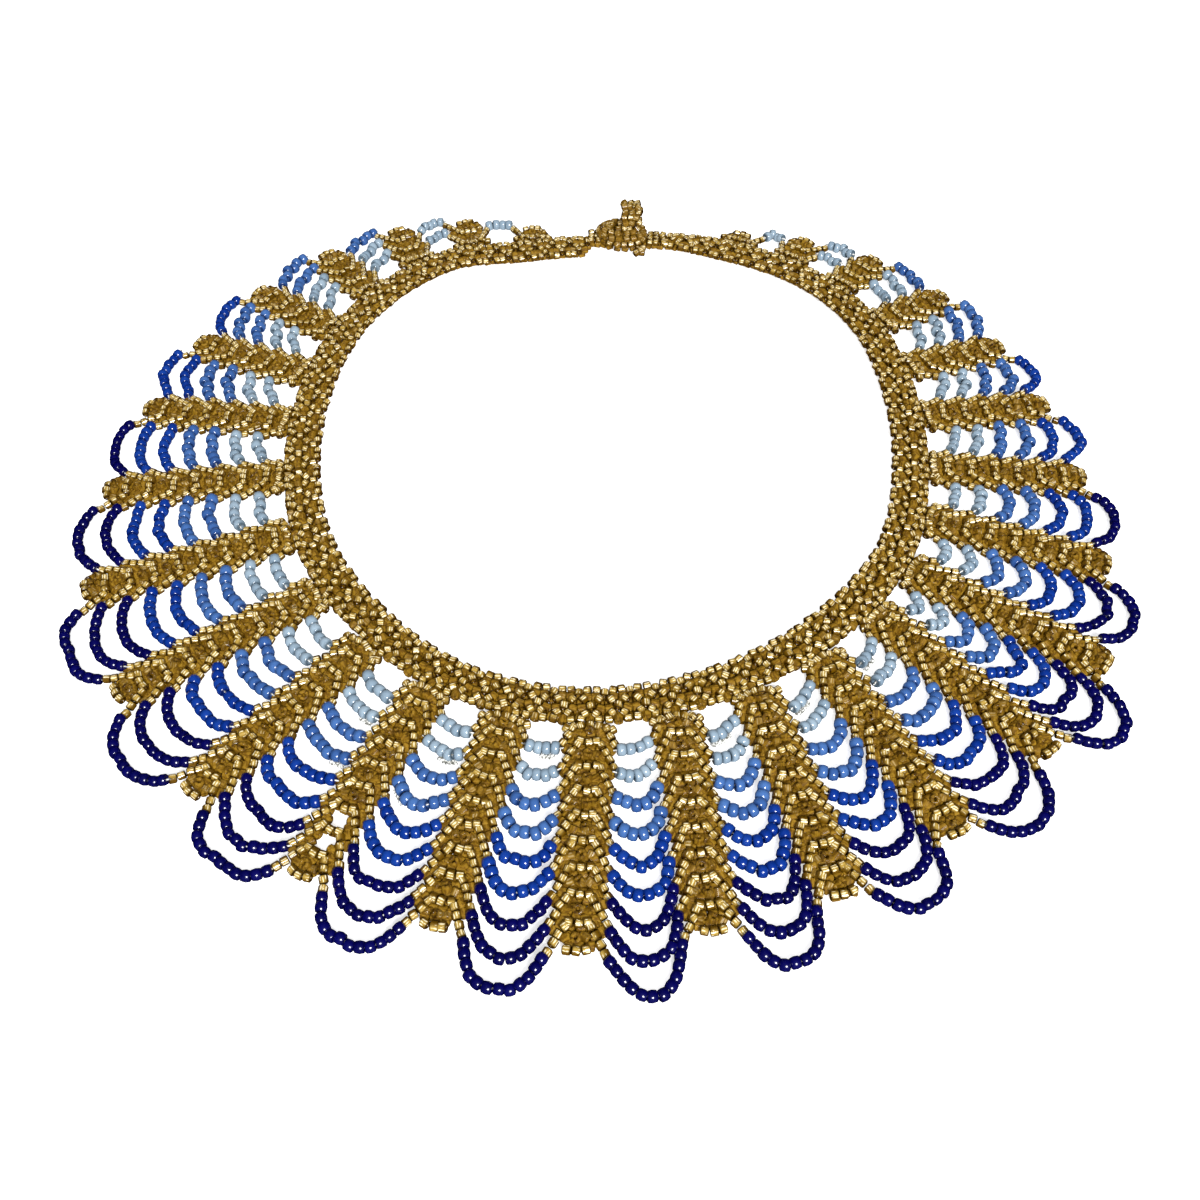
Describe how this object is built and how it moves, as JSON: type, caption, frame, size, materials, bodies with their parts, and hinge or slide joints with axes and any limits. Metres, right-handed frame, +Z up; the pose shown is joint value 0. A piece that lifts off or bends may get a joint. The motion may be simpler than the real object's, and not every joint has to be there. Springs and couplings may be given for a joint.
{
  "type": "beaded collar necklace",
  "caption": "Flat beaded collar necklace: a netted gold seed-bead neckband with netted ribs that spread from it, blue bead strings slung between the ribs, and a loop-and-toggle closure.",
  "frame": {"origin": "centre of the collar's box, on the surface that it lies on", "axes": "+Z up, -Y towards the throat side at the front, +Y towards the closure at the back, +X to the right as seen from the front"},
  "size_m": [0.229, 0.2136, 0.0126],
  "materials": {
    "gold_beads": "amber glass seed beads lined with silver, bright highlights and brown gaps",
    "pale_blue_beads": "pearly grey-blue glass seed beads",
    "sky_blue_beads": "opaque sky-blue glass seed beads, glossy",
    "royal_blue_beads": "opaque royal-blue glass seed beads, glossy",
    "navy_beads": "dark navy glass seed beads, glossy"
  },
  "bodies": {
    "root": {"neckband": "gold_beads", "rib_01": "gold_beads", "rib_02": "gold_beads", "rib_03": "gold_beads", "rib_04": "gold_beads", "rib_05": "gold_beads", "rib_06": "gold_beads", "rib_07": "gold_beads", "rib_08": "gold_beads", "rib_09": "gold_beads", "rib_10": "gold_beads", "rib_11": "gold_beads", "rib_12": "gold_beads", "rib_13": "gold_beads", "rib_14": "gold_beads", "rib_15": "gold_beads", "rib_16": "gold_beads", "rib_17": "gold_beads", "rib_18": "gold_beads", "rib_19": "gold_beads", "rib_20": "gold_beads", "rib_21": "gold_beads", "rib_22": "gold_beads", "rib_23": "gold_beads", "rib_24": "gold_beads", "rib_25": "gold_beads", "rib_26": "gold_beads", "rib_27": "gold_beads", "loops_row_1": "pale_blue_beads", "loops_row_2": "pale_blue_beads", "loops_row_3": "sky_blue_beads", "loops_row_4": "sky_blue_beads", "loops_row_5": "royal_blue_beads", "loops_row_6": "royal_blue_beads", "loops_row_7": "navy_beads", "loops_row_8": "navy_beads", "loops_row_9": "navy_beads", "clasp_loop": "gold_beads", "clasp_toggle": "gold_beads"}
  },
  "joints": []
}
